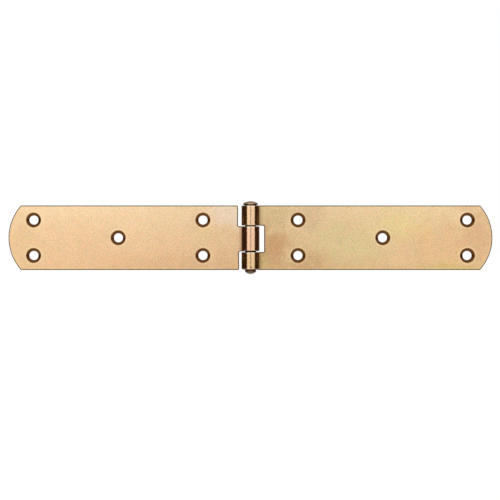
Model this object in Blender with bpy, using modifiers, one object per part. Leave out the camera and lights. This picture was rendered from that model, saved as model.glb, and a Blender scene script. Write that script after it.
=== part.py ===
"""Strap hinge: two stamped leaves with rolled knuckles, joined by a headed pin.

The pin's axis is Z, with its head up, and the origin is on that axis at the middle of the leaves' width.
The frame leaf points along +X. The door leaf points along -X when the hinge lies open, as modelled here.
The screws go in from -Y, the side where the knuckles stand out. The +Y faces rest on the door and the frame.
"""
import math
from collections import namedtuple

import bmesh
import bpy

# A tab is a strip of the leaf, from z = low to z = high, that is rolled into a knuckle. Rolling narrows its
# outside, so the knuckle's ends slope: low_slope and high_slope are what each end loses there.
Tab = namedtuple("Tab", "low high low_slope high_slope")

# Driving dimensions, in metres and degrees.
SPAN = 0.300                # from tip to tip
WIDTH = 0.040
SHEET = 0.002               # thickness of both leaves
TIP_RADIUS = 0.030          # the round end of each leaf

BORE_RADIUS = 0.0035
PIN_RADIUS = 0.0034
CURL_ANGLE = 305.0          # how far a tab is rolled round the pin, just short of its own leaf
SLOPE_RUN_IN = 45.0         # the part of the roll over which the slope of the ends grows

DOOR_TAB = Tab(-0.0085, 0.0071, 0.0005, 0.0002)
FRAME_BOTTOM_TAB = Tab(-0.0200, -0.0089, 0.0006, 0.0001)
FRAME_TOP_TAB = Tab(0.0075, 0.0200, 0.0001, 0.0003)

# How far from the pin's axis each leaf starts beside its tabs.
DOOR_SETBACK_TOP = 0.0078
DOOR_SETBACK_BOTTOM = 0.0071
FRAME_SETBACK = 0.0085
INSIDE_CORNER = 0.0007      # round where a tab meets the end of its leaf
OUTSIDE_CORNER = 0.0006     # round on the door leaf's corners beside the knuckles

# Screw holes: a pair, a single hole and a pair, as distances from the pin's axis along the leaf.
HOLE_RADIUS = 0.0028
COUNTERSINK_RADIUS = 0.0045
HOLE_OFFSET = 0.011         # of a pair's holes from the middle of the leaf
NEAR_PAIR = 0.0295
SINGLE_HOLE = 0.0820
FAR_PAIR = 0.1345

# The pin's head is a low dome on an upright rim. Its tail is a stub that narrows to a blunt end.
PIN_END = 0.0225            # height of the head's top, and depth of the tail's end
HEAD_GAP = 0.0002           # between the head and the top knuckle
HEAD_RADIUS = 0.0045
RIM_HEIGHT = 0.0006
RIM_EDGE = 0.0002           # round on the rim's lower edge
TAIL_STUB = 0.0008
TAIL_TIP_RADIUS = 0.0006
CIRCLE = 2.0                # exponents of superellipses, where 1 is a cone and more is squarer
DOME_ROUNDNESS = 1.8
TAIL_ROUNDNESS = 1.6

# Fineness of the round shapes.
BEND_STEP = 5.0             # degrees between the bend lines
TIP_SEGMENTS = 24
CORNER_SEGMENTS = 4
HOLE_SEGMENTS = 40
PIN_SEGMENTS = 72
DOME_SEGMENTS = 8

# Derived sizes.
PLATE_FRONT = BORE_RADIUS                       # y of the faces that the screw heads sink into
PLATE_MIDDLE = BORE_RADIUS + SHEET / 2          # also the radius of the fibre that keeps its length
BLANK_TAB_LENGTH = math.radians(CURL_ANGLE) * PLATE_MIDDLE
TOP_EDGE = WIDTH / 2
BOTTOM_EDGE = -WIDTH / 2
WELD_DISTANCE = 1e-6
FLAT_ANGLE = math.radians(0.5)
SHARP_ANGLE = math.radians(30)
CUT_MARGIN = 0.0003                             # how far a cutter runs past the sheet
STAND_IN_LEAF = (math.pi / 2, 0, 0)             # turns local Z to -Y, out of the leaf's front


def clear_scene():
    for obj in list(bpy.data.objects):
        bpy.data.objects.remove(obj, do_unlink=True)


def new_collection(name):
    collection = bpy.data.collections.new(name)
    bpy.context.scene.collection.children.link(collection)
    return collection


def plated_steel(name, colour, roughness):
    material = bpy.data.materials.new(name)
    material.use_nodes = True
    shader = material.node_tree.nodes["Principled BSDF"]
    shader.inputs["Base Color"].default_value = (*colour, 1.0)
    shader.inputs["Metallic"].default_value = 1.0
    shader.inputs["Roughness"].default_value = roughness
    return material


def arc(centre_x, centre_z, radius, start, end, segments):
    """Points of an arc in the plane of a leaf, from one angle in degrees to another."""
    points = []
    for step in range(segments + 1):
        angle = math.radians(start + (end - start) * step / segments)
        points.append((centre_x + radius * math.cos(angle), centre_z + radius * math.sin(angle)))
    return points


def round_tip():
    """The leaf's far end, from its lower corner to its upper one."""
    half_angle = math.degrees(math.asin(WIDTH / 2 / TIP_RADIUS))
    return arc(SPAN / 2 - TIP_RADIUS, 0, TIP_RADIUS, -half_angle, half_angle, TIP_SEGMENTS)


def corner_above_tab(x, z):
    """The round inside corner between the end of a leaf at x and the upper edge of its tab at z."""
    return arc(x - INSIDE_CORNER, z + INSIDE_CORNER, INSIDE_CORNER, 0, -90, CORNER_SEGMENTS)


def corner_below_tab(x, z):
    """The round inside corner between the lower edge of a tab at z and the end of its leaf at x."""
    return arc(x - INSIDE_CORNER, z - INSIDE_CORNER, INSIDE_CORNER, 90, 0, CORNER_SEGMENTS)


def door_outline():
    """The door leaf's blank, counter-clockwise, as (distance from the pin's axis, z)."""
    corner = OUTSIDE_CORNER
    points = round_tip()
    points += arc(DOOR_SETBACK_TOP + corner, TOP_EDGE - corner, corner, 90, 180, CORNER_SEGMENTS)
    points += corner_above_tab(DOOR_SETBACK_TOP, DOOR_TAB.high)
    points.append((-BLANK_TAB_LENGTH, DOOR_TAB.high))
    points.append((-BLANK_TAB_LENGTH, DOOR_TAB.low))
    points += corner_below_tab(DOOR_SETBACK_BOTTOM, DOOR_TAB.low)
    points += arc(DOOR_SETBACK_BOTTOM + corner, BOTTOM_EDGE + corner, corner, 180, 270, CORNER_SEGMENTS)
    return points


def frame_outline():
    """The frame leaf's blank, counter-clockwise, as (distance from the pin's axis, z)."""
    points = round_tip()
    points.append((-BLANK_TAB_LENGTH, FRAME_TOP_TAB.high))
    points.append((-BLANK_TAB_LENGTH, FRAME_TOP_TAB.low))
    points += corner_below_tab(FRAME_SETBACK, FRAME_TOP_TAB.low)
    points += corner_above_tab(FRAME_SETBACK, FRAME_BOTTOM_TAB.high)
    points.append((-BLANK_TAB_LENGTH, FRAME_BOTTOM_TAB.high))
    points.append((-BLANK_TAB_LENGTH, FRAME_BOTTOM_TAB.low))
    return points


def flat_blank(name, outline, side):
    """A sheet of the outline's shape, standing in the XZ plane where the open leaf will be."""
    curve = bpy.data.curves.new(name + "_outline", "CURVE")
    curve.dimensions = "2D"
    curve.fill_mode = "BOTH"
    curve.extrude = SHEET / 2
    spline = curve.splines.new("POLY")
    spline.points.add(len(outline) - 1)
    spline.use_cyclic_u = True
    for point, (reach, height) in zip(spline.points, outline):
        point.co = (side * reach, height, 0, 1)

    sketch = bpy.data.objects.new(name + "_outline", curve)
    sketch.location = (0, PLATE_MIDDLE, 0)
    sketch.rotation_euler = STAND_IN_LEAF
    bpy.context.scene.collection.objects.link(sketch)
    evaluated = sketch.evaluated_get(bpy.context.evaluated_depsgraph_get())
    mesh = bpy.data.meshes.new_from_object(evaluated)
    mesh.name = name
    blank = bpy.data.objects.new(name, mesh)
    blank.matrix_world = sketch.matrix_world
    bpy.data.objects.remove(sketch, do_unlink=True)
    return blank


def move_origin_to_pin_axis(obj):
    """Apply the object's placing, so that its origin is the scene's, which is on the pin's axis."""
    obj.data.transform(obj.matrix_basis)
    obj.matrix_basis.identity()


def sloped_height(z, tabs, outward, angle):
    """Where rolling takes the height z, for a point that far outward in the sheet and round the roll."""
    tab = min(tabs, key=lambda choice: abs(z - (choice.low + choice.high) / 2))
    upward = (z - tab.low) / (tab.high - tab.low)
    slope = tab.low_slope * (1 - upward) - tab.high_slope * upward
    return z + slope * outward * min(1, angle / math.radians(SLOPE_RUN_IN))


def rolled(position, side, tabs):
    """Where a point of the flat blank goes when its tabs are rolled up past the pin's axis."""
    reach = side * position.x
    if reach >= 0:
        return position
    angle = -reach / PLATE_MIDDLE
    radius = position.y
    z = sloped_height(position.z, tabs, (radius - BORE_RADIUS) / SHEET, angle)
    return (-side * radius * math.sin(angle), radius * math.cos(angle), z)


def roll_knuckles(mesh, side, tabs):
    """Cut the tabs across at each bend line, then wrap them round the pin's axis."""
    sheet = bmesh.new()
    sheet.from_mesh(mesh)
    bmesh.ops.remove_doubles(sheet, verts=sheet.verts, dist=WELD_DISTANCE)
    bmesh.ops.dissolve_limit(sheet, angle_limit=FLAT_ANGLE, verts=sheet.verts, edges=sheet.edges)
    for bend in range(round(CURL_ANGLE / BEND_STEP)):
        distance = math.radians(bend * BEND_STEP) * PLATE_MIDDLE
        everything = sheet.verts[:] + sheet.edges[:] + sheet.faces[:]
        bmesh.ops.bisect_plane(
            sheet, geom=everything, dist=WELD_DISTANCE, plane_co=(-side * distance, 0, 0), plane_no=(1, 0, 0))
    for vertex in sheet.verts:
        vertex.co = rolled(vertex.co, side, tabs)
    bmesh.ops.recalc_face_normals(sheet, faces=sheet.faces)
    sheet.to_mesh(mesh)
    sheet.free()


def turned(name, profile, segments):
    """A solid turned about Z from a profile of (radius, z) points, listed from top to bottom."""
    mesh = bpy.data.meshes.new(name)
    vertices = [(radius, 0, height) for radius, height in profile]
    edges = [(index, index + 1) for index in range(len(profile) - 1)]
    mesh.from_pydata(vertices, edges, [])
    obj = bpy.data.objects.new(name, mesh)
    screw = obj.modifiers.new("turn", "SCREW")
    screw.steps = segments
    screw.render_steps = segments
    screw.use_merge_vertices = True
    screw.merge_threshold = WELD_DISTANCE
    return obj


def hole_places(side):
    """The (x, z) of each screw hole of one leaf."""
    places = [(side * SINGLE_HOLE, 0)]
    for reach in (NEAR_PAIR, FAR_PAIR):
        for height in (-HOLE_OFFSET, HOLE_OFFSET):
            places.append((side * reach, height))
    return places


def screw_hole_cutter(name):
    """A countersunk hole's shape, with z = 0 at the leaf's front face and -Z going in."""
    cone_depth = COUNTERSINK_RADIUS - HOLE_RADIUS
    profile = [
        (0, CUT_MARGIN),
        (COUNTERSINK_RADIUS + CUT_MARGIN, CUT_MARGIN),
        (HOLE_RADIUS, -cone_depth),
        (HOLE_RADIUS, -SHEET - CUT_MARGIN),
        (0, -SHEET - CUT_MARGIN),
    ]
    return turned(name, profile, HOLE_SEGMENTS)


def cut_holes(leaf, side, cutters):
    for number, (x, z) in enumerate(hole_places(side), start=1):
        cutter = screw_hole_cutter(f"{leaf.name}_hole_cutter_{number}")
        cutter.location = (x, PLATE_FRONT, z)
        cutter.rotation_euler = STAND_IN_LEAF
        cutter.hide_render = True
        cutter.display_type = "WIRE"
        cutters.objects.link(cutter)
        cut = leaf.modifiers.new(f"hole_{number}", "BOOLEAN")
        cut.operation = "DIFFERENCE"
        cut.object = cutter


def add_leaf(name, outline, side, tabs, material, parts, cutters):
    leaf = flat_blank(name, outline, side)
    move_origin_to_pin_axis(leaf)
    roll_knuckles(leaf.data, side, tabs)
    leaf.data.shade_smooth()
    leaf.data.set_sharp_from_angle(angle=SHARP_ANGLE)
    leaf.data.materials.append(material)
    parts.objects.link(leaf)
    cut_holes(leaf, side, cutters)


def quarter_round(inner, level, width, height, exponent):
    """Profile points from (inner, level + height) out to (inner + width, level), along a superellipse."""
    points = []
    for step in range(DOME_SEGMENTS + 1):
        angle = math.pi / 2 * step / DOME_SEGMENTS
        across = width * math.sin(angle) ** (2 / exponent)
        up = height * math.cos(angle) ** (2 / exponent)
        points.append((inner + across, level + up))
    return points


def head_profile():
    """The pin's head as (radius, z), from the middle of its top to its shank."""
    underside = TOP_EDGE + HEAD_GAP
    rim_top = underside + RIM_HEIGHT
    dome = quarter_round(0, rim_top, HEAD_RADIUS, PIN_END - rim_top, DOME_ROUNDNESS)
    lower_edge = quarter_round(HEAD_RADIUS - RIM_EDGE, underside + RIM_EDGE, RIM_EDGE, -RIM_EDGE, CIRCLE)
    return dome + lower_edge[::-1] + [(PIN_RADIUS, underside)]


def tail_profile():
    """The pin's tail as (radius, z), from the end of its shank to the tip."""
    stub_end = BOTTOM_EDGE - TAIL_STUB
    taper_width = PIN_RADIUS - TAIL_TIP_RADIUS
    taper = quarter_round(TAIL_TIP_RADIUS, stub_end, taper_width, -PIN_END - stub_end, TAIL_ROUNDNESS)
    return taper[::-1] + [(0, -PIN_END)]


def add_pin(material, parts):
    pin = turned("hinge_pin", head_profile() + tail_profile(), PIN_SEGMENTS)
    pin.modifiers["turn"].use_smooth_shade = True
    pin.data.materials.append(material)
    parts.objects.link(pin)


def build_hinge():
    clear_scene()
    parts = new_collection("strap_hinge")
    cutters = new_collection("strap_hinge_cutters")
    door_plating = plated_steel("door_leaf_plating", (0.80, 0.60, 0.39), 0.38)
    frame_plating = plated_steel("frame_leaf_plating", (0.72, 0.56, 0.33), 0.38)
    pin_plating = plated_steel("pin_plating", (0.50, 0.36, 0.20), 0.32)
    add_leaf("door_leaf", door_outline(), -1, [DOOR_TAB], door_plating, parts, cutters)
    frame_tabs = [FRAME_BOTTOM_TAB, FRAME_TOP_TAB]
    add_leaf("frame_leaf", frame_outline(), 1, frame_tabs, frame_plating, parts, cutters)
    add_pin(pin_plating, parts)


build_hinge()
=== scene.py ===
"""The looks of a strap hinge: finer meshes of its two leaves and its pin, yellow-plated steel, and a studio.

The part's frame: the pin's axis is Z, the frame leaf points along +X and the door leaf along -X, and the
screw holes open towards -Y, where the camera stands. Lengths are in metres.
"""

import math
from collections import namedtuple

import bmesh
import bpy
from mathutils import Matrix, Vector
from mathutils.geometry import delaunay_2d_cdt


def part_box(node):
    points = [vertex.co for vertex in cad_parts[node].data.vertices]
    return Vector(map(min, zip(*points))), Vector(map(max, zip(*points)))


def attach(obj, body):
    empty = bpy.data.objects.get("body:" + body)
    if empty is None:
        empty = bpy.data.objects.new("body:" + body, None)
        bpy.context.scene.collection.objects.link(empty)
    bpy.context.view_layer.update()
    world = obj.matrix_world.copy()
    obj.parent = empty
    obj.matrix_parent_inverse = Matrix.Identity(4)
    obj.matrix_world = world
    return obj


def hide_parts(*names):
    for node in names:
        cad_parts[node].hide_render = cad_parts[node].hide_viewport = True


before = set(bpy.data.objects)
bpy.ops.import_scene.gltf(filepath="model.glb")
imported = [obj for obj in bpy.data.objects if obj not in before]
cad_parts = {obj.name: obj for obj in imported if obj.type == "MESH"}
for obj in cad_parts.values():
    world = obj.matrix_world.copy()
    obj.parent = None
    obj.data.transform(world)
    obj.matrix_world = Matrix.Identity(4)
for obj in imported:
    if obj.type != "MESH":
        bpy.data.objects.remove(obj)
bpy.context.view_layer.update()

# A tab is the strip of a leaf from z = low to z = high that is rolled into a knuckle. The slopes are what its
# lower and its upper end lose on the outside of the roll.
Tab = namedtuple("Tab", "low high low_slope high_slope")

# Everything that one leaf is made from. side is +1 when the leaf points along +X.
Leaf = namedtuple("Leaf", "node body side outline tabs tints")

FRAME_LOW, FRAME_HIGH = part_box("frame_leaf")
PIN_LOW, PIN_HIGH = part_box("hinge_pin")

# Sizes that the pieces' boxes give.
REACH = FRAME_HIGH.x                    # from the pin's axis to a leaf's tip
TOP_EDGE = FRAME_HIGH.z
BOTTOM_EDGE = FRAME_LOW.z
PLATE_BACK = FRAME_HIGH.y               # also the radius of the knuckles

# Sizes that the boxes don't give, as in the CAD.
SHEET = 0.002
TIP_RADIUS = 0.030
CURL_ANGLE = math.radians(305.0)
SLOPE_RUN_IN = math.radians(45.0)
DOOR_TAB = Tab(-0.0085, 0.0071, 0.0005, 0.0002)
FRAME_BOTTOM_TAB = Tab(BOTTOM_EDGE, -0.0089, 0.0006, 0.0001)
FRAME_TOP_TAB = Tab(0.0075, TOP_EDGE, 0.0001, 0.0003)
DOOR_SETBACK_TOP = 0.0078
DOOR_SETBACK_BOTTOM = 0.0071
FRAME_SETBACK = 0.0085
INSIDE_CORNER = 0.0007
OUTSIDE_CORNER = 0.0006
HOLE_RADIUS = 0.0028
COUNTERSINK_RADIUS = 0.0045
HOLE_OFFSET = 0.011
NEAR_PAIR = 0.0295
SINGLE_HOLE = 0.0820
FAR_PAIR = 0.1345
PIN_RADIUS = 0.0034
HEAD_GAP = 0.0002
HEAD_RADIUS = PIN_HIGH.x
RIM_HEIGHT = 0.0006
RIM_EDGE = 0.0002
DOME_ROUNDNESS = 1.8
TAIL_STUB = 0.0008
TAIL_TIP_RADIUS = 0.0006
TAIL_ROUNDNESS = 1.6

# What stamping and pressing leave on the edges.
ROLL_IN_WIDTH = 0.00055                 # the punch rounds the front edge of a blank
ROLL_IN_DEPTH = 0.00040
BACK_EDGE = 0.00010                     # the back edge is only dulled
FLAT_RIM = 0.00003                      # a strip beside each rounded edge that keeps the faces' shading flat
KNUCKLE_EDGE = 0.00028                  # rolling wears it rounder on the outside of a knuckle
KNUCKLE_EDGE_RUN_IN = 0.004             # the length of tab over which it grows rounder
SINK_LIP = 0.00022                      # round where a countersink meets the face
SINK_FOOT = 0.00002                     # and where it meets its hole
HOLE_BACK_EDGE = 0.00012

# Fineness of the meshes.
BEND_STEP = math.radians(2.5)
ROUND_STEPS = 5
TIP_STEPS = 60
CORNER_STEPS = 6
HOLE_STEPS = 72
PIN_STEPS = 128
DOME_STEPS = 14
FACE_PITCH = 0.004                      # between the points inside a flat face
TINY = 0.00001
FILL_TOLERANCE = 1e-9
MERGE_DISTANCE = 1e-6
SHARP_ANGLE = math.radians(40)          # edges that turn more than this stay sharp

NEUTRAL_RADIUS = PLATE_BACK - SHEET / 2
TAB_LENGTH = CURL_ANGLE * NEUTRAL_RADIUS

# Material slots of a leaf's mesh.
FACE, EDGE, SINK = range(3)

# The attribute in which each point of a leaf keeps its (reach, height, z) in the flat blank.
BLANK = "blank"


def add_object(name, data):
    thing = bpy.data.objects.new(name, data)
    bpy.context.scene.collection.objects.link(thing)
    return thing


def dress(piece, materials, body, node):
    """Finishes a piece of the hinge: its materials and its shading; it rides on its body, and the CAD piece
    that it replaces is hidden.
    """
    for material in materials:
        piece.data.materials.append(material)
    piece.data.shade_smooth()
    piece.data.set_sharp_from_angle(angle=SHARP_ANGLE)
    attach(piece, body)
    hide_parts(node)


# ---------------------------------------------------------------------------------------------------------
# The leaves' outlines, as (reach from the pin's axis, z) points, counter-clockwise.
# ---------------------------------------------------------------------------------------------------------

def arc(centre_x, centre_z, radius, start, end, steps):
    """Points along a circle from one angle to another, in degrees, with both ends."""
    points = []
    for step in range(steps + 1):
        angle = math.radians(start + (end - start) * step / steps)
        points.append((centre_x + radius * math.cos(angle), centre_z + radius * math.sin(angle)))
    return points


def round_tip():
    half_angle = math.degrees(math.asin((TOP_EDGE - BOTTOM_EDGE) / 2 / TIP_RADIUS))
    return arc(REACH - TIP_RADIUS, 0, TIP_RADIUS, -half_angle, half_angle, TIP_STEPS)


def corner_above_tab(x, z):
    return arc(x - INSIDE_CORNER, z + INSIDE_CORNER, INSIDE_CORNER, 0, -90, CORNER_STEPS)


def corner_below_tab(x, z):
    return arc(x - INSIDE_CORNER, z - INSIDE_CORNER, INSIDE_CORNER, 90, 0, CORNER_STEPS)


def door_outline():
    corner = OUTSIDE_CORNER
    points = round_tip()
    points += arc(DOOR_SETBACK_TOP + corner, TOP_EDGE - corner, corner, 90, 180, CORNER_STEPS)
    points += corner_above_tab(DOOR_SETBACK_TOP, DOOR_TAB.high)
    points += [(-TAB_LENGTH, DOOR_TAB.high), (-TAB_LENGTH, DOOR_TAB.low)]
    points += corner_below_tab(DOOR_SETBACK_BOTTOM, DOOR_TAB.low)
    points += arc(DOOR_SETBACK_BOTTOM + corner, BOTTOM_EDGE + corner, corner, 180, 270, CORNER_STEPS)
    return points


def frame_outline():
    points = round_tip()
    points += [(-TAB_LENGTH, FRAME_TOP_TAB.high), (-TAB_LENGTH, FRAME_TOP_TAB.low)]
    points += corner_below_tab(FRAME_SETBACK, FRAME_TOP_TAB.low)
    points += corner_above_tab(FRAME_SETBACK, FRAME_BOTTOM_TAB.high)
    points += [(-TAB_LENGTH, FRAME_BOTTOM_TAB.high), (-TAB_LENGTH, FRAME_BOTTOM_TAB.low)]
    return points


def stations():
    """The reaches at which a leaf's long sides get a point: the bend lines of its tabs, then even steps."""
    bend = BEND_STEP * NEUTRAL_RADIUS
    # They stop short of a tab's end, whose rounded edge mustn't cross the last one.
    last = round((TAB_LENGTH - ROLL_IN_WIDTH - FLAT_RIM) / bend)
    bend_lines = [-number * bend for number in range(last)]
    steps = [number * FACE_PITCH for number in range(1, round(REACH / FACE_PITCH))]
    return bend_lines + steps


def divided(outline):
    """The outline with a point at each station along its level sides, and even steps up its upright ones."""
    points = []
    for index, (x, z) in enumerate(outline):
        next_x, next_z = outline[(index + 1) % len(outline)]
        length = math.hypot(next_x - x, next_z - z)
        if abs(next_z - z) < TINY:
            shares = [(reach - x) / (next_x - x) for reach in stations()]
        else:
            steps = max(1, round(length / FACE_PITCH))
            shares = [step / steps for step in range(1, steps)]
        points.append((x, z))
        for share in sorted(shares):
            if TINY < share * length < length - TINY:
                points.append((x + (next_x - x) * share, z + (next_z - z) * share))
    return points


def inward(points):
    """For each point of a counter-clockwise loop, the way it moves when the loop is inset by one unit."""
    moves = []
    for index, point in enumerate(points):
        before = Vector(point) - Vector(points[index - 1])
        after = Vector(points[(index + 1) % len(points)]) - Vector(point)
        first = Vector((-before.y, before.x)).normalized()
        second = Vector((-after.y, after.x)).normalized()
        moves.append((first + second) / (1 + first.dot(second)))
    return moves


def edge_section(reach):
    """A stamped edge from the back face to the front, as (inset, height above the back face, slot)."""
    rolled = min(1.0, max(0.0, -reach / KNUCKLE_EDGE_RUN_IN))
    back_edge = BACK_EDGE + (KNUCKLE_EDGE - BACK_EDGE) * rolled
    section = [(back_edge + FLAT_RIM, 0.0, FACE)]
    for step in range(ROUND_STEPS + 1):
        angle = math.pi / 2 * step / ROUND_STEPS
        slot = FACE if step < ROUND_STEPS - 1 else EDGE
        section.append((back_edge * (1 - math.sin(angle)), back_edge * (1 - math.cos(angle)), slot))
    for step in range(ROUND_STEPS + 1):
        angle = math.pi / 2 * step / ROUND_STEPS
        height = SHEET - ROLL_IN_DEPTH * (1 - math.sin(angle))
        section.append((ROLL_IN_WIDTH * (1 - math.cos(angle)), height, EDGE))
    section.append((ROLL_IN_WIDTH + FLAT_RIM, SHEET, FACE))
    return section


def sink_section():
    """A countersunk hole from the back face to the front, as (radius, height above the back face, slot)."""
    section = []
    for step in range(ROUND_STEPS + 1):
        angle = math.pi / 2 * step / ROUND_STEPS
        radius = HOLE_RADIUS + HOLE_BACK_EDGE * (1 - math.sin(angle))
        section.append((radius, HOLE_BACK_EDGE * (1 - math.cos(angle)), SINK))
    cone_start = SHEET - (COUNTERSINK_RADIUS - HOLE_RADIUS)
    section.append((HOLE_RADIUS, cone_start - SINK_FOOT, SINK))
    section.append((HOLE_RADIUS + SINK_FOOT, cone_start + SINK_FOOT, SINK))
    for step in range(ROUND_STEPS + 1):
        angle = math.pi / 4 * (1 - step / ROUND_STEPS)
        run = SINK_LIP / math.tan(math.pi / 8)
        radius = COUNTERSINK_RADIUS + SINK_LIP - run * math.sin(angle)
        section.append((radius, SHEET - run * (1 - math.cos(angle)), SINK))
    return section


def hole_centres():
    """A leaf's five screw holes: one alone in the middle, and a pair near either end."""
    centres = [(SINGLE_HOLE, 0.0)]
    for reach in (NEAR_PAIR, FAR_PAIR):
        for height in (-HOLE_OFFSET, HOLE_OFFSET):
            centres.append((reach, height))
    return centres


# ---------------------------------------------------------------------------------------------------------
# A leaf's mesh: it is put together flat, then its tabs are rolled.
# ---------------------------------------------------------------------------------------------------------

def inside(point, loop):
    """Whether a point lies inside a closed loop."""
    x, z = point
    result = False
    for (x1, z1), (x2, z2) in zip(loop, loop[1:] + loop[:1]):
        if (z1 > z) != (z2 > z) and x < x1 + (z - z1) / (z2 - z1) * (x2 - x1):
            result = not result
    return result


def nearest(point, points):
    return min(math.hypot(point[0] - x, point[1] - z) for x, z in points)


def face_grid(loop, rims):
    """Points in even triangles over the flat part of a face, clear of its outline and its holes."""
    borders = [point for ring in [loop] + rims for point in ring]
    row_height = FACE_PITCH * math.sqrt(3) / 2
    rows = round((TOP_EDGE - BOTTOM_EDGE) / row_height)
    columns = round(REACH / FACE_PITCH)
    points = []
    for row in range(1, rows):
        z = BOTTOM_EDGE + (TOP_EDGE - BOTTOM_EDGE) * row / rows
        for column in range(columns):
            x = (column + 0.5 + 0.5 * (row % 2)) * FACE_PITCH
            clear = not any(math.hypot(x - cx, z - cz) < COUNTERSINK_RADIUS for cx, cz in hole_centres())
            if clear and inside((x, z), loop) and nearest((x, z), borders) > FACE_PITCH / 2:
                points.append((x, z))
    return points


def across_tabs(loop, tabs):
    """Pairs of positions in the loop that face each other across a tab, one pair for each bend line."""
    pairs = []
    for tab in tabs:
        lower_ends = {}
        upper_ends = {}
        for index, (x, z) in enumerate(loop):
            for level, ends in ((tab.low, lower_ends), (tab.high, upper_ends)):
                if x < TINY and abs(z - level) < ROLL_IN_WIDTH + FLAT_RIM + TINY:
                    ends.setdefault(round(x / TINY), index)
        pairs += [(index, lower_ends[x]) for x, index in upper_ends.items() if x in lower_ends]
    return pairs


def fill_face(mesh, corners, loop, rims, tabs, height, add_point):
    """Triangles over one face of the sheet. corners are the vertices of the loop and of the rims."""
    points = list(loop)
    edges = [(index, (index + 1) % len(loop)) for index in range(len(loop))]
    for rim in rims:
        start = len(points)
        points += rim
        edges += [(start + index, start + (index + 1) % len(rim)) for index in range(len(rim))]
    edges += across_tabs(loop, tabs)
    grid = face_grid(loop, rims)
    vertices = corners + [add_point(x, z, height) for x, z in grid]
    found, _, triangles, origins, _, _ = delaunay_2d_cdt(
        [Vector(point) for point in points + grid], edges, [], 0, FILL_TOLERANCE)
    for triangle in triangles:
        middle = sum((found[index] for index in triangle), Vector((0, 0))) / 3
        if inside(middle, loop) and not any(inside(middle, rim) for rim in rims):
            mesh.faces.new([vertices[origins[index][0]] for index in triangle]).material_index = FACE


def wrap(mesh, rings, slots):
    """Quads between neighbouring closed rings of vertices."""
    for lower, upper, slot in zip(rings, rings[1:], slots[1:]):
        for index in range(len(lower)):
            after = (index + 1) % len(lower)
            corners = [lower[index], lower[after], upper[after], upper[index]]
            mesh.faces.new(corners).material_index = slot


def placer(leaf):
    """A function from (reach, z, height above the back face) to where that point of the leaf ends up."""
    def place(reach, z, height):
        radius = PLATE_BACK - height
        if reach >= 0:
            return (leaf.side * reach, radius, z)
        angle = -reach / NEUTRAL_RADIUS
        tab = min(leaf.tabs, key=lambda choice: abs(z - (choice.low + choice.high) / 2))
        upward = (z - tab.low) / (tab.high - tab.low)
        slope = tab.low_slope * (1 - upward) - tab.high_slope * upward
        outward = 1 - height / SHEET
        ended = z + slope * outward * min(1.0, angle / SLOPE_RUN_IN)
        return (-leaf.side * radius * math.sin(angle), radius * math.cos(angle), ended)
    return place


def outline_rings(outline):
    """The loops of a leaf's stamped edge from the back face to the front, and the slot of each."""
    loop = divided(outline)
    moves = inward(loop)
    sections = [edge_section(x) for x, _ in loop]
    slots = [slot for _, _, slot in sections[0]]
    rings = []
    for level in range(len(slots)):
        ring = []
        for (x, z), move, section in zip(loop, moves, sections):
            inset, height, _ = section[level]
            ring.append((x + move.x * inset, z + move.y * inset, height))
        rings.append(ring)
    return rings, slots


def hole_rings(centre):
    """The circles of one screw hole from the back face to the front, and the slot of each."""
    rings = []
    for radius, height, _ in sink_section():
        circle = arc(*centre, radius, 0, 360, HOLE_STEPS)[:-1]
        rings.append([(x, z, height) for x, z in circle])
    return rings, [SINK] * len(rings)


def build_leaf(leaf, materials):
    place = placer(leaf)
    mesh = bmesh.new()
    blank = mesh.verts.layers.float_vector.new(BLANK)

    def add_point(reach, z, height):
        """A vertex, which also remembers its place in the flat blank, for the materials."""
        vertex = mesh.verts.new(place(reach, z, height))
        vertex[blank] = (reach, height, z)
        return vertex

    # The outline comes first, then the holes.
    borders = [outline_rings(leaf.outline)] + [hole_rings(centre) for centre in hole_centres()]
    vertices = [[[add_point(*point) for point in ring] for ring in rings] for rings, _ in borders]
    for corners, (_, slots) in zip(vertices, borders):
        wrap(mesh, corners, slots)

    for end, height in ((0, 0.0), (-1, SHEET)):
        loop, *rims = [[(x, z) for x, z, _ in rings[end]] for rings, _ in borders]
        corners = [vertex for rings in vertices for vertex in rings[end]]
        fill_face(mesh, corners, loop, rims, leaf.tabs, height, add_point)

    bmesh.ops.recalc_face_normals(mesh, faces=mesh.faces)
    name = "plated_" + leaf.node
    data = bpy.data.meshes.new(name)
    mesh.to_mesh(data)
    mesh.free()
    dress(add_object(name, data), materials, leaf.body, leaf.node)


# ---------------------------------------------------------------------------------------------------------
# The pin.
# ---------------------------------------------------------------------------------------------------------

def quarter_round(inner, level, width, height, exponent):
    """Profile points from (inner, level + height) out to (inner + width, level), along a superellipse."""
    points = []
    for step in range(DOME_STEPS + 1):
        angle = math.pi / 2 * step / DOME_STEPS
        across = width * math.sin(angle) ** (2 / exponent)
        up = height * math.cos(angle) ** (2 / exponent)
        points.append((inner + across, level + up))
    return points


def pin_profile():
    """The whole pin as (radius, z), from the middle of its head's top to the tail's tip."""
    underside = TOP_EDGE + HEAD_GAP
    rim_top = underside + RIM_HEIGHT
    stub_end = BOTTOM_EDGE - TAIL_STUB
    dome = quarter_round(0, rim_top, HEAD_RADIUS, PIN_HIGH.z - rim_top, DOME_ROUNDNESS)
    lower_edge = quarter_round(HEAD_RADIUS - RIM_EDGE, underside + RIM_EDGE, RIM_EDGE, -RIM_EDGE, 2.0)
    taper_width = PIN_RADIUS - TAIL_TIP_RADIUS
    taper = quarter_round(TAIL_TIP_RADIUS, stub_end, taper_width, PIN_LOW.z - stub_end, TAIL_ROUNDNESS)
    return dome + lower_edge[::-1] + [(PIN_RADIUS, underside)] + taper[::-1] + [(0, PIN_LOW.z)]


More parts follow.
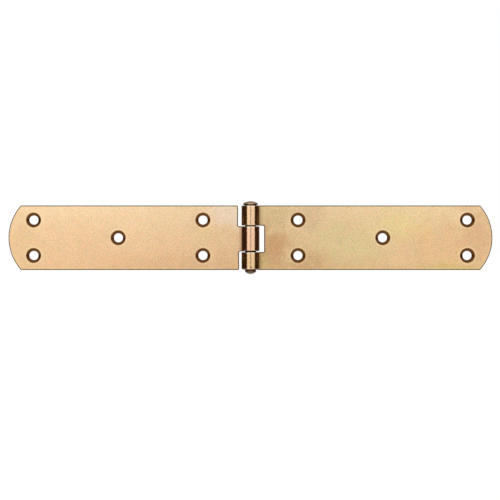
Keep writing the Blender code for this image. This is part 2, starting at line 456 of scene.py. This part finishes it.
def build_pin(material):
    profile = pin_profile()
    data = bpy.data.meshes.new("pin_profile")
    edges = [(index, index + 1) for index in range(len(profile) - 1)]
    data.from_pydata([(radius, 0, z) for radius, z in profile], edges, [])
    sketch = add_object("pin_profile", data)
    screw = sketch.modifiers.new("turn", "SCREW")
    screw.steps = PIN_STEPS
    screw.render_steps = PIN_STEPS
    screw.use_merge_vertices = True
    screw.merge_threshold = MERGE_DISTANCE
    evaluated = sketch.evaluated_get(bpy.context.evaluated_depsgraph_get())
    solid = bpy.data.meshes.new_from_object(evaluated)
    solid.name = "plated_pin"
    bpy.data.objects.remove(sketch, do_unlink=True)
    dress(add_object("plated_pin", solid), [material], "frame_side", "hinge_pin")


# ---------------------------------------------------------------------------------------------------------
# Materials.
# ---------------------------------------------------------------------------------------------------------

class Graph:
    """A node tree, with short calls for building it."""

    def __init__(self, tree):
        self.tree = tree

    def feed(self, socket, value):
        if isinstance(value, bpy.types.NodeSocket):
            self.tree.links.new(value, socket)
        else:
            socket.default_value = value

    def node(self, kind, inputs=None, **settings):
        node = self.tree.nodes.new("ShaderNode" + kind)
        for key, value in settings.items():
            setattr(node, key, value)
        for key, value in (inputs or {}).items():
            self.feed(node.inputs[key], value)
        return node

    def split(self, vector):
        return self.node("SeparateXYZ", {"Vector": vector}).outputs

    def spread(self, value, low, high, to_low=0.0, to_high=1.0, ease="LINEAR"):
        """The value, stretched from the range low..high to another and clamped."""
        inputs = {"Value": value, "From Min": low, "From Max": high, "To Min": to_low, "To Max": to_high}
        return self.node("MapRange", inputs, interpolation_type=ease).outputs["Result"]

    def mix(self, share, first, second, blend="MIX"):
        """The first colour where the share is 0, and the second one blended in where it is 1."""
        mixer = self.node("Mix", {0: share, 6: first, 7: second}, data_type="RGBA", blend_type=blend)
        return mixer.outputs[2]

    def multiply(self, tint, factor):
        return self.mix(1.0, tint, factor, "MULTIPLY")

    def grey(self, value):
        return self.node("CombineXYZ", {0: value, 1: value, 2: value}).outputs[0]

    def maths(self, operation, first, second=0.0):
        return self.node("Math", {0: first, 1: second}, operation=operation).outputs[0]

    def times(self, first, second):
        return self.maths("MULTIPLY", first, second)

    def other_share(self, share):
        return self.maths("SUBTRACT", 1.0, share)

    def distance(self, place, point):
        return self.node("VectorMath", {0: place, 1: point}, operation="DISTANCE").outputs["Value"]


class Plating(Graph):
    """A material of plated steel, whose patterns are placed by the vector `place`."""

    def __init__(self, name, attribute=None):
        self.material = bpy.data.materials.new(name)
        self.material.use_nodes = True
        super().__init__(self.material.node_tree)
        self.shader = self.tree.nodes["Principled BSDF"]
        if attribute:
            self.place = self.node("Attribute", attribute_name=attribute).outputs["Vector"]
        else:
            self.place = self.node("TexCoord").outputs["Object"]

    def noise(self, size, detail=2.0, stretch=(1, 1, 1), shift=0.0, result="Fac"):
        """Noise from 0 to 1 whose blobs are about size metres across, before the stretch."""
        scale = tuple(1 / (size * factor) for factor in stretch)
        moved = self.node("Mapping", {"Vector": self.place, "Scale": scale, "Location": (shift,) * 3})
        noise = self.node("TexNoise", {"Vector": moved.outputs["Vector"], "Scale": 1.0, "Detail": detail})
        return noise.outputs[result]

    def blob(self, patch, wobble):
        """How strongly a soft, uneven patch covers each point, from 0 to the patch's strength."""
        scale = (1 / patch.wide, 0, 1 / patch.high)
        offset = (-patch.reach / patch.wide, 0, -patch.z / patch.high)
        moved = self.node("Mapping", {"Vector": self.place, "Scale": scale, "Location": offset})
        distance = self.node("VectorMath", {0: moved.outputs["Vector"]}, operation="LENGTH").outputs["Value"]
        ragged = self.maths("ADD", distance, wobble)
        return self.spread(ragged, 1.5, 0.3, 0.0, patch.strength, "SMOOTHSTEP")

    def uneven(self, value, low, high):
        """Noise, stretched to low..high over the range that it mostly keeps to."""
        return self.spread(value, 0.3, 0.7, low, high)

    def scaled(self, tint, low, high, value):
        """The tint made darker or lighter, by a factor of low..high where the noise is weak..strong."""
        return self.multiply(tint, self.grey(self.uneven(value, low, high)))

    def speckled(self, tint, size, amount):
        """The tint with a fine grain, in which red, green and blue vary each for itself."""
        grain = self.noise(size, 2.0, result="Color")
        inputs = {0: grain, 1: (amount,) * 3, 2: (1 - amount / 2,) * 3}
        factor = self.node("VectorMath", inputs, operation="MULTIPLY_ADD").outputs["Vector"]
        return self.multiply(tint, factor)

    def finish(self, tint, roughness, heights):
        """Connects the shader. heights holds (height texture, depth in metres) for each layer of relief."""
        self.feed(self.shader.inputs["Base Color"], tint)
        self.feed(self.shader.inputs["Metallic"], 1.0)
        self.feed(self.shader.inputs["Roughness"], roughness)
        normal = None
        for height, depth in heights:
            bump = self.node("Bump", {"Strength": 1.0, "Distance": depth, "Height": height})
            if normal:
                self.feed(bump.inputs["Normal"], normal)
            normal = bump.outputs["Normal"]
        self.feed(self.shader.inputs["Normal"], normal)
        return self.material


def colour(red, green, blue):
    """A linear RGBA colour from display values of 0 to 255."""
    linear = []
    for value in (red, green, blue):
        share = value / 255
        linear.append(share / 12.92 if share <= 0.04045 else ((share + 0.055) / 1.055) ** 2.4)
    return (*linear, 1.0)


WHITE = (1, 1, 1, 1)

# A soft patch of another tint. Its middle is at this reach and z, and it spreads about as far to either side
# as wide and high say, in metres.
# The patches carry both the plating's uneven tone and painted light and shade from the lighting.
Patch = namedtuple("Patch", "reach z wide high tint strength")

# A leaf's tints: of its plate at the upper and lower edge, and of its knuckles at the top and bottom; the
# upper ones are lighter as painted light from above.
Tints = namedtuple("Tints", "plate_high plate_low knuckle_high knuckle_low patches")

DOOR_TINTS = Tints(
    colour(250, 217, 174), colour(233, 192, 146), colour(247, 205, 175), colour(245, 199, 161), [
        Patch(0.012, 0.016, 0.014, 0.009, colour(254, 230, 208), 0.6),
        Patch(0.140, -0.004, 0.013, 0.018, colour(232, 197, 150), 0.8),
        Patch(0.060, -0.018, 0.040, 0.007, colour(228, 186, 140), 0.5),
        Patch(0.108, -0.003, 0.024, 0.015, colour(234, 197, 152), 0.5),
        Patch(0.030, 0.002, 0.009, 0.008, colour(240, 206, 154), 0.5),
    ])
FRAME_TINTS = Tints(
    colour(244, 214, 168), colour(228, 194, 144), colour(249, 210, 172), colour(234, 200, 152), [
        Patch(0.011, 0.013, 0.018, 0.011, colour(224, 196, 147), 0.8),
        Patch(0.012, -0.005, 0.013, 0.011, colour(214, 168, 120), 0.85),
        Patch(0.007, -0.015, 0.004, 0.007, colour(206, 180, 120), 0.7),
        Patch(0.023, -0.017, 0.010, 0.004, colour(220, 180, 128), 0.6),
        Patch(0.038, -0.014, 0.012, 0.007, colour(216, 174, 126), 0.7),
        Patch(0.036, 0.013, 0.010, 0.008, colour(222, 189, 151), 0.6),
        Patch(0.062, -0.003, 0.026, 0.012, colour(230, 208, 154), 0.8),
        Patch(0.092, 0.008, 0.016, 0.010, colour(240, 216, 156), 0.8),
        Patch(0.094, -0.010, 0.010, 0.006, colour(242, 206, 160), 0.6),
        Patch(0.125, -0.005, 0.030, 0.016, colour(234, 193, 144), 0.8),
        Patch(0.140, 0.004, 0.012, 0.018, colour(224, 184, 140), 0.8),
        Patch(0.122, -0.0185, 0.016, 0.003, colour(218, 192, 126), 0.8),
    ])


# Over this distance beside the pin's axis a plate's looks turn into its knuckles'.
KNUCKLE_BLEND = 0.004

# A dark pit low on the front of the bottom knuckle, at this place in the frame leaf's blank.
KNUCKLE_PIT = (-0.0144, 0.0, -0.0187)
PIT_TINT = colour(50, 32, 12)
PITTING_TINT = colour(120, 82, 45)

# Where the plating is rubbed or burnished, where highlights are painted on it, and its tints there.
RUB_WIDTH = 0.0013                      # from a leaf's edge inwards
RUB_TINT = colour(250, 236, 210)
RING_RADIUS = 0.0062                    # round each screw hole
RING_TINT = colour(250, 228, 188)
HIGHLIGHT_BAND_HEIGHT = 0.0010                    # at the upper end of each knuckle
KNUCKLE_END_HIGHLIGHT = colour(255, 240, 212)

ROOT_SHADE_WIDTH = 0.0020               # on a plate, beside the knuckles
MIRRORED_PLATE = colour(40, 20, 8)

# The stamped edges, torn at the back and sheared smooth at the front, with these heights above the back face.
TORN_TO = 0.0008
SHEARED_FROM = 0.0011
EDGE_DARK_TINT = colour(140, 104, 66)
TORN_TINT = colour(112, 84, 56)
ROUNDED_TINT = colour(96, 70, 42)

SINK_SHADE_TINT = colour(140, 90, 32)
TOOL_MARKS = 9000.0                     # to the metre, across a countersink

PIN_TINTS = (colour(208, 172, 136), colour(226, 190, 148))
DOME_REFLECTION_TINT = colour(222, 196, 174)
DOME_REFLECTION_HEIGHT = 0.0012
TAIL_TINT = colour(158, 136, 114)
PIN_SHADE_TINT = colour(56, 28, 10)
HEAD_SHADE_HEIGHT = 0.0005                  # from the head's underside up


def sheet_tint(plating, tints):
    """The colour of the plating over a leaf, seen from far: the plate, its patches and the knuckles."""
    reach, _, z = plating.split(plating.place)
    upward = plating.spread(z, BOTTOM_EDGE, TOP_EDGE)
    # Painted light: the upper tints are lighter, as if light falls on the leaf from above.
    tint = plating.mix(upward, tints.plate_low, tints.plate_high)
    wobble = plating.spread(plating.noise(0.007, 4.0), 0.25, 0.75, -0.45, 0.45)
    for patch in tints.patches:
        tint = plating.mix(plating.blob(patch, wobble), tint, patch.tint)
    knuckle = plating.mix(upward, tints.knuckle_low, tints.knuckle_high)
    return plating.mix(plating.spread(reach, KNUCKLE_BLEND, 0.0), tint, knuckle)


def rim_distance(plating):
    """How far a point lies from the plate's long edges or from its round tip, in metres."""
    reach, _, z = plating.split(plating.place)
    to_side = plating.maths("SUBTRACT", TOP_EDGE, plating.maths("ABSOLUTE", z))
    past = plating.maths("MAXIMUM", plating.maths("SUBTRACT", reach, REACH - TIP_RADIUS), 0.0)
    squares = plating.maths("ADD", plating.maths("POWER", past, 2.0), plating.maths("POWER", z, 2.0))
    to_tip = plating.maths("SUBTRACT", TIP_RADIUS, plating.maths("SQRT", squares))
    return plating.maths("MINIMUM", to_side, to_tip)


def hole_distance(plating):
    """How far a point lies from the axis of the nearest screw hole, in metres."""
    reach, _, z = plating.split(plating.place)
    folded = plating.node("CombineXYZ", {0: reach, 2: plating.maths("ABSOLUTE", z)}).outputs[0]
    nearest_axis = 1.0
    for centre_x, centre_z in ((NEAR_PAIR, HOLE_OFFSET), (SINGLE_HOLE, 0.0), (FAR_PAIR, HOLE_OFFSET)):
        distance = plating.distance(folded, (centre_x, 0.0, centre_z))
        nearest_axis = plating.maths("MINIMUM", distance, nearest_axis)
    return nearest_axis


def wear_and_highlights(plating, tint, rolled, tabs):
    """The tint with the rubbing of handling along the edges, a paler ring round each hole that is partly
    burnish and partly painted highlight, and a painted highlight at each knuckle's upper end.
    """
    _, height, z = plating.split(plating.place)
    # Handling has rubbed the plating paler along the outer edge, in broken strokes.
    rubbed = plating.spread(rim_distance(plating), RUB_WIDTH, RUB_WIDTH - 0.0010)
    strokes = plating.spread(plating.noise(0.003, 4.0, shift=7.0), 0.45, 0.65, 0.0, 0.45)
    tint = plating.mix(plating.times(rubbed, strokes), tint, RUB_TINT)
    # A narrow paler ring around each hole, on the front face: partly the countersinking tool's burnish,
    # partly a painted highlight on the countersink's lip.
    ring = plating.spread(hole_distance(plating), RING_RADIUS, RING_RADIUS - 0.0012, 0.0, 0.35, "SMOOTHSTEP")
    in_front = plating.spread(height, SHEET / 2 - 0.0001, SHEET / 2 + 0.0001)
    tint = plating.mix(plating.times(ring, in_front), tint, RING_TINT)
    # Painted highlight: a narrow pale band at the upper end of each knuckle, where its rounded end catches
    # light from above.
    for tab in tabs:
        band = plating.spread(z, tab.high - HIGHLIGHT_BAND_HEIGHT, tab.high - HIGHLIGHT_BAND_HEIGHT + 0.0004, 0.0, 0.7)
        band = plating.times(band, plating.spread(z, tab.high + 0.0002, tab.high + 0.0001))
        tint = plating.mix(plating.times(band, rolled), tint, KNUCKLE_END_HIGHLIGHT)
    return tint


def shaded(plating, tint, rolled):
    """The tint with less light at the root of a plate, and dark where a knuckle mirrors the plate."""
    reach = plating.split(plating.place)[0]
    root = plating.spread(reach, PLATE_BACK, PLATE_BACK + ROOT_SHADE_WIDTH, 0.72, 1.0)
    tint = plating.multiply(tint, plating.mix(rolled, plating.grey(root), WHITE))
    mirrored = plating.spread(plating.node("LightPath").outputs["Is Glossy Ray"], 0.0, 1.0, 0.0, 0.85)
    return plating.mix(plating.times(mirrored, plating.other_share(rolled)), tint, MIRRORED_PLATE)


def face_material(leaf):
    """The two faces of a leaf and the outside of its knuckles: satin plating over rolled sheet."""
    plating = Plating(leaf.node + "_face", BLANK)
    rolled = plating.spread(plating.split(plating.place)[0], KNUCKLE_BLEND, 0.0)
    grain = plating.noise(0.0007)
    rolling_lines = plating.noise(0.00022, stretch=(180, 1, 1), shift=2.0)
    clouds = plating.noise(0.005, 3.0, shift=5.0)
    pits = plating.noise(0.0011, 1.0, shift=9.0)

    tint = sheet_tint(plating, leaf.tints)
    tint = plating.scaled(tint, 0.975, 1.025, clouds)
    tint = plating.speckled(tint, 0.0006, 0.7)
    tint = plating.scaled(tint, 0.85, 1.15, grain)
    pitted = plating.times(plating.spread(pits, 0.66, 0.74, 0.0, 0.7), rolled)
    tint = plating.mix(pitted, tint, PITTING_TINT)
    pit = plating.spread(plating.distance(plating.place, KNUCKLE_PIT), 0.0006, 0.0003)
    tint = plating.mix(pit, tint, PIT_TINT)
    tint = wear_and_highlights(plating, tint, rolled, leaf.tabs)
    tint = shaded(plating, tint, rolled)

    satin = plating.uneven(plating.noise(0.002, 3.0, shift=4.0), 0.27, 0.34)
    polished = plating.spread(plating.noise(0.0013, shift=4.0), 0.38, 0.62, 0.08, 0.20)
    roughness = plating.mix(rolled, satin, polished)
    return plating.finish(tint, roughness, [(clouds, 0.00003), (grain, 0.000008), (rolling_lines, 0.0000015)])


def edge_material(leaf):
    """The stamped edges: a burnished band where the punch sheared the sheet, and rough fracture behind it."""
    plating = Plating(leaf.node + "_edge", BLANK)
    reach, height, _ = plating.split(plating.place)
    wander = plating.uneven(plating.noise(0.0015), -0.0002, 0.0002)
    sheared = plating.spread(plating.maths("ADD", height, wander), TORN_TO, SHEARED_FROM)
    striations = plating.noise(0.00025, stretch=(1, 30, 1))
    crumbs = plating.noise(0.0003, 3.0, shift=3.0)

    # The edges are darkened, less on the knuckles than on the plates.
    tint = plating.mix(
        plating.spread(reach, 0.0, KNUCKLE_BLEND, 0.3, 0.75), sheet_tint(plating, leaf.tints), EDGE_DARK_TINT)
    tint = plating.mix(sheared, TORN_TINT, tint)
    # The tint turns dark in a line where the punch rounded the front edge.
    rounded_from = SHEET - ROLL_IN_DEPTH
    rounded = plating.spread(height, rounded_from - 0.0001, rounded_from + 0.0001)
    rounded = plating.times(rounded, plating.spread(reach, 0.0, KNUCKLE_BLEND, 0.3, 1.0))
    tint = plating.mix(rounded, tint, ROUNDED_TINT)
    tint = plating.scaled(tint, 0.8, 1.2, striations)
    tint = plating.speckled(tint, 0.0008, 0.3)
    roughness = plating.spread(sheared, 0.0, 1.0, 0.55, 0.34)
    texture = plating.mix(sheared, crumbs, striations)
    return plating.finish(tint, roughness, [(striations, 0.00001), (texture, 0.00002)])


def sink_material(leaf):
    """The countersinks and the holes: plating painted darker as shade in the recesses, over the tool's
    circular marks.
    """
    plating = Plating(leaf.node + "_sink", BLANK)
    inputs = {"W": hole_distance(plating), "Scale": TOOL_MARKS, "Detail": 2.0}
    rings = plating.node("TexNoise", inputs, noise_dimensions="1D").outputs["Fac"]
    # Painted shade: the countersinks and holes take mostly the darker sink tint.
    tint = plating.mix(0.85, sheet_tint(plating, leaf.tints), SINK_SHADE_TINT)
    tint = plating.scaled(tint, 0.85, 1.15, plating.noise(0.0012, 3.0))
    tint = plating.scaled(tint, 0.88, 1.12, rings)
    roughness = plating.uneven(plating.noise(0.001), 0.24, 0.34)
    return plating.finish(tint, roughness, [(rings, 0.000012)])


def pin_material():
    """The pin: turned and headed steel, its plating duller than the leaves', with a painted reflection making
    the dome paler.
    """
    plating = Plating("pin_plating")
    z = plating.split(plating.place)[2]
    turned = plating.noise(0.0002, stretch=(40, 40, 1))
    clouds = plating.noise(0.0025, 3.0, shift=5.0)
    scratches = plating.noise(0.0004, 3.0, stretch=(1, 5, 1), shift=8.0)

    tint = plating.mix(plating.spread(clouds, 0.35, 0.65), *PIN_TINTS)
    # The dome is painted paler and greyer towards its top as a painted reflection, and the tail's end is
    # grey.
    dome = plating.spread(z, PIN_HIGH.z - DOME_REFLECTION_HEIGHT, PIN_HIGH.z, 0.0, 0.5)
    tint = plating.mix(dome, tint, DOME_REFLECTION_TINT)
    tail = plating.spread(z, BOTTOM_EDGE - TAIL_STUB, BOTTOM_EDGE - TAIL_STUB - 0.0003)
    tint = plating.mix(tail, tint, TAIL_TINT)
    # Painted shade darkens the head's lower edge and the shank: the shadow under the head and inside the gaps
    # between the knuckles.
    shade_top = TOP_EDGE + HEAD_GAP + HEAD_SHADE_HEIGHT
    in_shade = plating.spread(z, shade_top, shade_top - 0.0002, 0.0, 0.95)
    tint = plating.mix(plating.times(in_shade, plating.other_share(tail)), tint, PIN_SHADE_TINT)
    tint = plating.speckled(tint, 0.0007, 0.3)
    tint = plating.scaled(tint, 0.88, 1.12, scratches)
    roughness = plating.uneven(plating.noise(0.001), 0.20, 0.32)
    return plating.finish(tint, roughness, [(clouds, 0.00003), (turned, 0.000006), (scratches, 0.000006)])


# ---------------------------------------------------------------------------------------------------------
# The studio.
# ---------------------------------------------------------------------------------------------------------

CAMERA_DISTANCE = 0.823
CAMERA_SHIFT = -0.0003                  # of the camera from the hinge's middle, along X
CAMERA_DROP = 0.0076                    # of the camera below the hinge's middle
LENS = 96.0
CLIP_START = 0.01

# The softboxes stand side by side and face the hinge, which mirrors them. Each is given as (name, side, the
# angle that it fills seen from the hinge, in degrees, brightness).
SOFTBOX_DISTANCE = 0.95
SOFTBOX_HEIGHT = 2.4
SOFTBOXES = (("left_softbox", -1, 44.5, 0.99), ("right_softbox", 1, 55.5, 0.90))

# The lamps overhead, which the metal doesn't mirror, as (name, height, size, brightness).
LAMPS = (("ceiling_light", 1.6, 2.4, 0.8), ("top_light", 1.2, 0.5, 5.0))

# The camera's dark front, a little behind its lens.
SHADE_PLACE = (0.01, -CAMERA_DISTANCE - 0.015, -CAMERA_DROP)
SHADE_SIZE = (0.20, 0.16, 1.0)
SHADE_GLOW = 0.44

FLOOR_RADIUS = 6.0
FLOOR_TINT = (0.88, 0.88, 0.88, 1)
FLOOR_ROUGHNESS = 0.9
BACKDROP_GLOW = 1.02
BACKDROP_FACING = (0.74, 0.82)          # how low a view of the floor must be for it to turn into backdrop

# The room that the metal mirrors.
WALL_TINT = (0.037, 0.014, 0.003, 1)
CEILING_TINT = (0.36, 0.36, 0.36, 1)
GROUND_TINT = (0.38, 0.38, 0.38, 1)
FAR_GROUND_TINT = (0.95, 0.95, 0.95, 1)

# How the softboxes and the camera are turned.
FACING_HINGE = (math.pi / 2, 0, 0)


def add_camera():
    data = bpy.data.cameras.new("camera")
    data.lens = LENS
    data.clip_start = CLIP_START
    camera = add_object("camera", data)
    camera.location = (CAMERA_SHIFT, -CAMERA_DISTANCE, -CAMERA_DROP)
    camera.rotation_euler = FACING_HINGE
    bpy.context.scene.camera = camera


def add_light(name, location, rotation, width, height, brightness):
    """A flat light, which shows as bright as a white surface does when its brightness is 1."""
    data = bpy.data.lights.new(name, "AREA")
    data.shape = "RECTANGLE"
    data.size = width
    data.size_y = height
    data.energy = brightness * math.pi * width * height
    light = add_object(name, data)
    light.location = location
    light.rotation_euler = rotation
    light.visible_camera = False
    return light


def add_prop(name, material_name):
    """Names the plane just added and gives it a material to be wired up."""
    prop = bpy.context.object
    prop.name = name
    material = bpy.data.materials.new(material_name)
    material.use_nodes = True
    prop.data.materials.append(material)
    return prop, material.node_tree


def add_camera_shade():
    """The dark front of the camera, which the metal mirrors as a faint streak."""
    bpy.ops.mesh.primitive_plane_add(size=1.0, location=SHADE_PLACE, rotation=FACING_HINGE)
    shade, tree = add_prop("camera_shade", "camera_shade")
    shade.scale = SHADE_SIZE
    shade.visible_camera = False
    shade.visible_diffuse = False
    graph = Graph(tree)
    glow = graph.node("Emission", {"Color": WHITE, "Strength": SHADE_GLOW})
    graph.feed(tree.nodes["Material Output"].inputs["Surface"], glow.outputs[0])


def add_floor():
    """A pale floor under the pin. Seen at a low angle it burns out to white, as the backdrop does."""
    bpy.ops.mesh.primitive_circle_add(
        vertices=96, radius=FLOOR_RADIUS, fill_type="NGON", location=(0, 0, PIN_LOW.z))
    floor, tree = add_prop("floor", "pale_floor")
    floor.visible_glossy = False
    floor.visible_shadow = False
    graph = Graph(tree)
    shader = tree.nodes["Principled BSDF"]
    graph.feed(shader.inputs["Base Color"], FLOOR_TINT)
    graph.feed(shader.inputs["Roughness"], FLOOR_ROUGHNESS)
    glow = graph.node("Emission", {"Color": WHITE, "Strength": BACKDROP_GLOW})
    low_angle = graph.spread(graph.node("LayerWeight").outputs["Facing"], *BACKDROP_FACING)
    blend = graph.node("MixShader", {0: low_angle, 1: shader.outputs[0], 2: glow.outputs[0]})
    graph.feed(tree.nodes["Material Output"].inputs["Surface"], blend.outputs[0])


def add_world():
    """White behind the hinge, while the metal mirrors a dark warm room with a pale ceiling and floor."""
    world = bpy.data.worlds.new("studio")
    world.use_nodes = True
    graph = Graph(world.node_tree)
    _, back, up = graph.split(graph.node("TexCoord").outputs["Generated"])
    room = graph.mix(graph.spread(up, 0.2, 0.5), WALL_TINT, CEILING_TINT)
    ground = graph.mix(graph.spread(back, 0.45, 0.65), GROUND_TINT, FAR_GROUND_TINT)
    room = graph.mix(graph.spread(up, -0.16, -0.26), room, ground)
    seen = graph.node("LightPath").outputs["Is Camera Ray"]
    graph.feed(world.node_tree.nodes["Background"].inputs["Color"], graph.mix(seen, room, WHITE))
    bpy.context.scene.world = world


def build_studio():
    for name, side, angle, brightness in SOFTBOXES:
        width = SOFTBOX_DISTANCE * math.tan(math.radians(angle))
        place = (side * width / 2, -SOFTBOX_DISTANCE, 0)
        add_light(name, place, FACING_HINGE, width, SOFTBOX_HEIGHT, brightness)
    for name, height, size, brightness in LAMPS:
        lamp = add_light(name, (0, 0, height), (0, 0, 0), size, size, brightness)
        lamp.visible_glossy = False
    add_camera_shade()
    add_floor()
    add_world()
    add_camera()
    bpy.context.scene.view_settings.view_transform = "Standard"


def build_hinge():
    leaves = (
        Leaf("door_leaf", "door_side", -1, door_outline(), [DOOR_TAB], DOOR_TINTS),
        Leaf("frame_leaf", "frame_side", 1, frame_outline(), [FRAME_BOTTOM_TAB, FRAME_TOP_TAB], FRAME_TINTS),
    )
    for leaf in leaves:
        build_leaf(leaf, [face_material(leaf), edge_material(leaf), sink_material(leaf)])
    build_pin(pin_material())


build_hinge()
build_studio()
